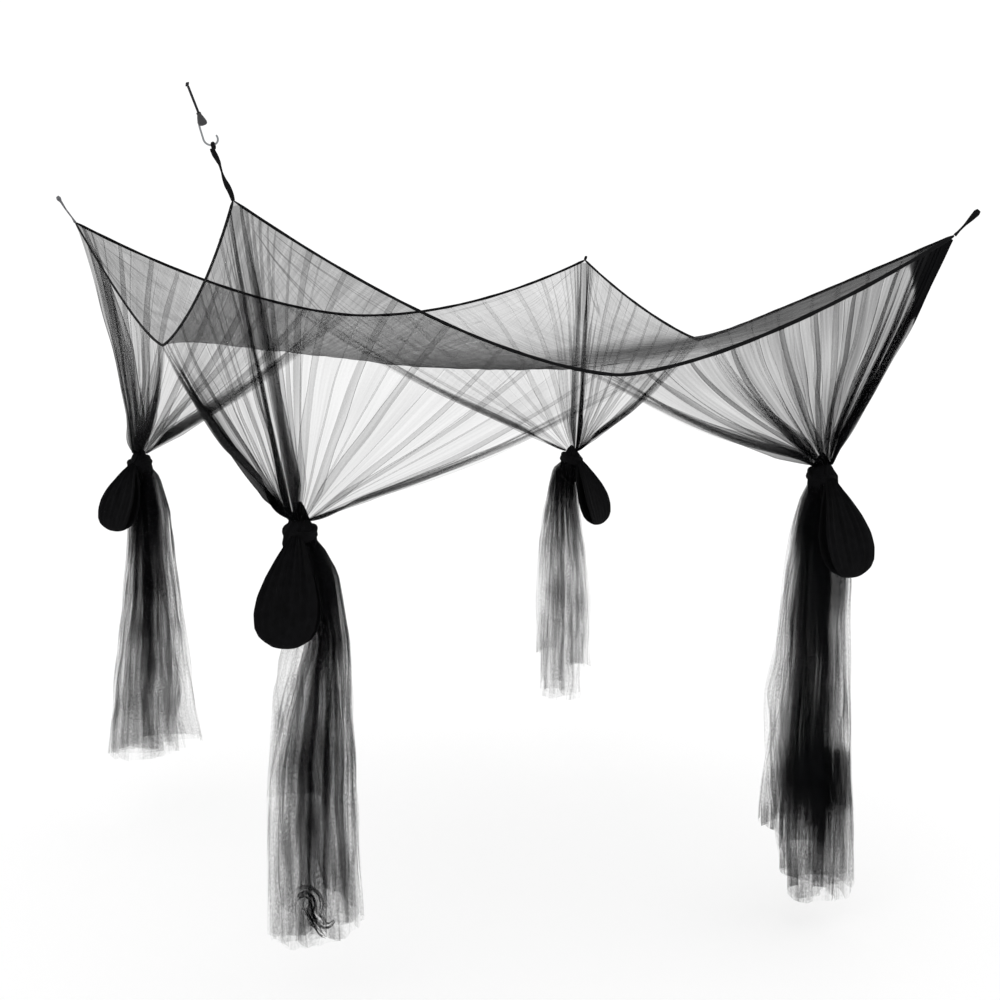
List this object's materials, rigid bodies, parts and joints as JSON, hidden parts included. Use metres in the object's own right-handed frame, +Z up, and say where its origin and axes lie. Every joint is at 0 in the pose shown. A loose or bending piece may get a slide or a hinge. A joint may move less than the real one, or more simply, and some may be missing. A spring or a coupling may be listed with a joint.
{
  "type": "four-corner mosquito net canopy with hanging hook",
  "caption": "Sheer net roof with bound edges and corner curtains drawn up into knots with bow loops and hanging tails, held by ribbon ties and a hook on an elastic cord.",
  "frame": {"origin": "top of the hook's cord, where it is held, above the front left corner", "axes": "+Z up; +X along the roof's front edge from the hook's corner; +Y from the front edge to the back edge"},
  "size_m": [2.0026, 2.1883, 2.0083],
  "materials": {
    "net": "sheer black net",
    "tape": "woven black tape",
    "grey_tape": "worn grey ribbon",
    "wire": "bright plated wire",
    "plastic": "moulded, slight sheen",
    "cord": "braided elastic"
  },
  "bodies": {
    "root": {"roof_panel": "net", "curtain_front_left": "net", "curtain_front_right": "net", "curtain_back_right": "net", "curtain_back_left": "net", "binding_front": "tape", "binding_back": "tape", "binding_left": "tape", "binding_right": "tape", "ribbon_front_left": "tape", "tie_front_right": "tape", "tie_back_left": "grey_tape", "tab_back_right": "tape", "hanging_hook": "wire", "hook_cone": "plastic", "hook_cord": "cord", "cord_knot": "cord"}
  },
  "joints": []
}
